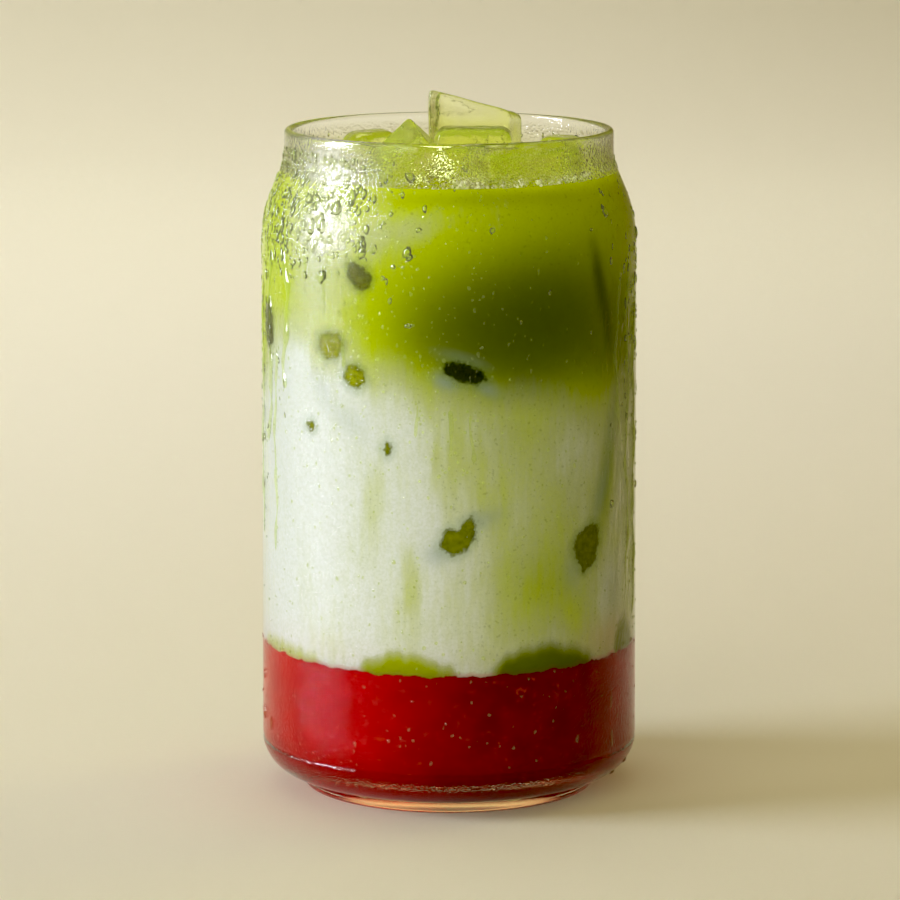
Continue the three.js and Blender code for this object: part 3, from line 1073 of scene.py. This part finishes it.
def foam_round_ice(name, count):
    """The places of bubbles round a cube at the drink's level."""
    middle, size, turn, *_ = ICE[name]
    t = rng.uniform(0, 2 * np.pi, count)
    square = np.maximum(np.abs(np.cos(t)), np.abs(np.sin(t)))
    out = 0.15 + 1.8 * rng.random(count) ** 2.5
    u = np.cos(t) / square * (size[0] / 2 + out)
    v = np.sin(t) / square * (size[1] / 2 + out)
    c, s = math.cos(math.radians(turn[2])), math.sin(math.radians(turn[2]))
    x, y = middle[0] + u * c - v * s, middle[1] + u * s + v * c
    return np.stack([x, y, np.full(count, DRINK_LEVEL)], axis=-1)


def foam_piece(material):
    """Small bubbles where the drink meets the glass and the ice, and a little froth up the wall."""
    bm = bmesh.new()
    bmesh.ops.create_icosphere(bm, subdivisions=1, radius=1.0)
    ball, faces = taken_from(bm)
    centre = np.vstack([foam_at_wall()] + [foam_round_ice(*row) for row in FOAM_ROUND_ICE])
    centre = centre[np.hypot(centre[:, 0], centre[:, 1]) < NECK - 1.5]
    size = rng.lognormal(math.log(0.36), 0.35, len(centre)).clip(0.16, 0.75)
    centre[:, 2] += size * rng.uniform(-0.2, 1.2, len(centre))
    at_wall = np.hypot(centre[:, 0], centre[:, 1]) > NECK - 4.5
    centre[:, 2] += at_wall * 1.3 * rng.random(len(centre)) ** 1.5
    points = (centre[:, None, :] + ball[None] * size[:, None, None]).reshape(-1, 3)
    return make_object("foam_bubbles", points, faces_of_copies(faces, len(ball), len(centre)), material)


def foam_material():
    material, tree, shader = new_material("foam")
    colour = blend(tree, noise(tree, 400, 2), FOAM_GREEN, FOAM_PALE)
    set_inputs(shader, clear_values(colour, WATER_IOR, 0.2, 0.4))
    return material


# The stage
def area_light(name, place, target, size, radiance, colour, spread=180):
    """A lamp that lights things but isn't seen itself. The spread is in degrees."""
    data = bpy.data.lights.new(name, "AREA")
    data.shape = "RECTANGLE"
    data.size, data.size_y = size
    data.energy = radiance * math.pi * size[0] * size[1]
    data.color = colour
    data.spread = math.radians(spread)
    obj = bpy.data.objects.new(name, data)
    aim(obj, place, target)
    obj.visible_transmission = obj.visible_camera = obj.visible_glossy = False
    bpy.context.collection.objects.link(obj)


def aim(obj, place, target):
    obj.location = place
    obj.rotation_euler = (Vector(target) - Vector(place)).to_track_quat("-Z", "Y").to_euler()


def stage_material():
    """A plain pale stage, with painted reflections: glass and water see it darker on their right and greener
    behind the camera.
    """
    material, tree, shader = new_material("stage")
    path = add_node(tree, "LightPath").outputs
    x, y, _ = object_axes(tree)
    bent = path["Is Transmission Ray"]
    mirrored = times(tree, path["Is Glossy Ray"], maths(tree, "SUBTRACT", 1.0, bent))
    # painted reflection: mirrored, the stage turns darker and warmer towards the right
    right = times(tree, mirrored, remap(tree, x, 0.0, 0.4, 0.0, 0.8))
    tone = blend(tree, right, STAGE, STAGE_PAINTED_REFLECTION_SHADE)
    # painted reflection: seen through glass and water, the stage towards the camera turns green
    painted_green_share = times(tree, bent, remap(tree, y, -0.1, -0.4))
    tone = blend(tree, painted_green_share, tone, STAGE_PAINTED_REFRACTION_GREEN)
    set_inputs(shader, {"Base Color": tone, "Roughness": 0.9, "Specular IOR Level": 0.1})
    return material


def stage_piece():
    """The floor, which curves up into a backdrop behind."""
    wide, near, bend, back, high = 8.0, -6.0, 1.2, 2.4, 5.0
    turn = back - bend
    steps = np.linspace(0.1, math.pi / 2, 16)
    section = [(near, 0.0), (bend, 0.0)]
    section += [(bend + turn * math.sin(t), turn * (1 - math.cos(t))) for t in steps]
    section.append((back, high))
    points = [(x / MM, y / MM, z / MM) for y, z in section for x in (-wide, wide)]
    faces = [(2 * i, 2 * i + 1, 2 * i + 3, 2 * i + 2) for i in range(len(section) - 1)]
    make_object("stage_floor", points, faces, stage_material())


def softbox_card(place, target, size, mirrored, through, colour):
    """The key light as it is seen mirrored in glass and water, and through them. It lights nothing else."""
    material = bpy.data.materials.new("softbox_card")
    material.use_nodes = True
    tree = material.node_tree
    tree.nodes.clear()
    path = add_node(tree, "LightPath").outputs
    direct = maths(tree, "LESS_THAN", path["Diffuse Depth"], 0.5)
    strength = times(tree, direct, remap(tree, path["Is Transmission Ray"], 0.0, 1.0, mirrored, through))
    glow = add_node(tree, "Emission", {"Color": (*colour, 1), "Strength": strength})
    add_node(tree, "OutputMaterial", {"Surface": glow.outputs[0]})
    w, h = size[0] / 2 / MM, size[1] / 2 / MM
    corners = [(-w, -h, 0), (w, -h, 0), (w, h, 0), (-w, h, 0)]
    obj = make_object("softbox_card", corners, [(0, 1, 2, 3)], material)
    aim(obj, place, target)
    obj.visible_diffuse = obj.visible_camera = obj.visible_shadow = False
    material.cycles.emission_sampling = "NONE"


def direction(azimuth, rise):
    """The direction at an angle round the glass and an angle over the floor, in degrees."""
    turn, tilt = math.radians(azimuth), math.radians(rise)
    return Vector((math.sin(turn) * math.cos(tilt), -math.cos(turn) * math.cos(tilt), math.sin(tilt)))


def light_stage():
    middle = Vector((0, 0, 0.07))
    key_azimuth, key_away = -84, 1.25
    key_place = middle + direction(key_azimuth, 32) * key_away
    card_place = middle + direction(key_azimuth, 21) * key_away
    area_light("key", key_place, middle, (0.5, 0.85), 5.2, COOL_LIGHT)
    softbox_card(card_place, middle, (0.55, 0.95), 52.0, 4.0, COOL_LIGHT)
    area_light("front", (-0.75, -1.35, 0.40), middle, (1.5, 0.9), 3.1, WARM_LIGHT)
    area_light("top", (0.2, 0.2, 2.2), (0, 0.2, 0), (2.6, 2.6), 0.30, TOP_LIGHT)
    area_light("rim", middle + direction(120, 26), middle, (0.4, 0.6), 0.22, RIM_LIGHT, spread=50)
    area_light("back", (-0.40, 0.95, 1.0), (-0.35, 1.05, 0), (1.5, 1.3), 0.62, BACK_LIGHT, spread=84)
    area_light("base_glow", (0, 0, 0.002), (0, 0, 0), (0.042, 0.042), 1.6, GLOW_LIGHT)
    world = bpy.data.worlds.new("room")
    world.use_nodes = True
    set_inputs(world.node_tree.nodes["Background"], {"Color": (*ROOM_LIGHT, 1), "Strength": 0.15})
    bpy.context.scene.world = world


def add_camera():
    data = bpy.data.cameras.new("camera")
    data.lens, data.sensor_width = 178.4, 36.0
    data.clip_start, data.clip_end = 0.05, 20
    obj = bpy.data.objects.new("camera", data)
    obj.location = (0.0002, -0.8939, 0.2248)
    obj.rotation_euler = (math.radians(90 - 9.92), 0, 0)
    bpy.context.collection.objects.link(obj)
    bpy.context.scene.camera = obj


def set_up_render():
    scene = bpy.context.scene
    scene.view_settings.view_transform = "Standard"
    scene.view_settings.use_curve_mapping = True
    scene.view_settings.curve_mapping.black_level = (0.01, 0.01, 0.01)
    scene.cycles.max_bounces = 12
    scene.cycles.transmission_bounces = 12
    scene.cycles.glossy_bounces = 6
    scene.cycles.diffuse_bounces = 3
    scene.cycles.transparent_max_bounces = 8


def build():
    glass = glass_piece(wet_glass())
    points = points_of(glass)
    set_attribute(glass, "dew", dew_share(points))
    set_attribute(glass, "wet", wet_share(points))
    set_attribute(glass, "ridges", ridge_share(points))
    set_attribute(glass, "film", film_share(points))
    set_attribute(glass, "mist_and_highlight", mist_and_highlight_share(points))
    finished(glass, "glass", "glass")
    glass.visible_shadow = False
    finished(puree_piece(), "puree", "strawberry_puree")
    ice = ice_material()
    cuts = [ice_piece(name, ice, steps=8, grow=-0.1) for name in ICE]
    drink = drink_piece(drink_material(), cuts)
    pools = [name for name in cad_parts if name.startswith("matcha_pool")]
    finished(drink, "matcha", "milk", "matcha", *pools)
    for name in ICE:
        cube = finished(ice_piece(name, ice), "ice", name)
        cube.visible_shadow = False
    finished(foam_piece(foam_material()), "matcha")
    for piece in water_pieces(water_material()):
        finished(piece, "glass")
        piece.visible_shadow = False


set_up_render()
add_camera()
stage_piece()
light_stage()
build()
